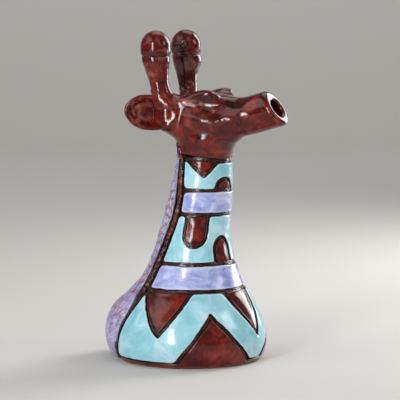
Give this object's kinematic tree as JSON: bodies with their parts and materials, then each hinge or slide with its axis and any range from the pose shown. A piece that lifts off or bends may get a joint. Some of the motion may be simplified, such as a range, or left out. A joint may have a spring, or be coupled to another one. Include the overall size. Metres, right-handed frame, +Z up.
{
  "type": "ceramic giraffe ornament",
  "caption": "Hand-built giraffe head on a flared hollow neck, with raised glazed bands, triangles and arches, cupped ears and knobbed horns.",
  "frame": {"origin": "on the table under the middle of the whole piece", "axes": "+X towards the snout, +Y the animal's left, +Z up"},
  "size_m": [0.181, 0.1404, 0.2994],
  "materials": {
    "bare_clay": "dark brown-black glaze pooled in the grooves",
    "brown_glaze": "glossy iron-red glaze with darker streaks and tool marks",
    "turquoise_glaze": "glossy turquoise glaze, softly clouded, thin at the edges",
    "lavender_glaze": "glossy lavender glaze, blotched with darker blue",
    "lace_glaze": "lavender glaze over a pressed lace texture with brown in the hollows"
  },
  "bodies": {
    "root": {"neck_core": "bare_clay", "foot_rim": "brown_glaze", "turquoise_skirt": "turquoise_glaze", "lavender_band_lower": "lavender_glaze", "turquoise_band_middle": "turquoise_glaze", "lavender_band_upper": "lavender_glaze", "turquoise_collar": "turquoise_glaze", "collar_triangle_right": "brown_glaze", "collar_triangle_left": "brown_glaze", "collar_arch_front": "brown_glaze", "hanging_tongue_right": "brown_glaze", "hanging_tongue_left": "brown_glaze", "middle_arch_front": "brown_glaze", "skirt_triangle_right": "brown_glaze", "skirt_triangle_left": "brown_glaze", "skirt_triangle_front": "brown_glaze", "mane_slab": "lace_glaze", "rump_slab": "lace_glaze", "seam_coil_right": "brown_glaze", "seam_coil_left": "brown_glaze", "head": "brown_glaze", "horn_stalk_right": "brown_glaze", "horn_stalk_left": "brown_glaze", "horn_knob_right": "brown_glaze", "horn_knob_left": "brown_glaze", "ear_right": "brown_glaze", "ear_left": "brown_glaze"}
  },
  "joints": []
}
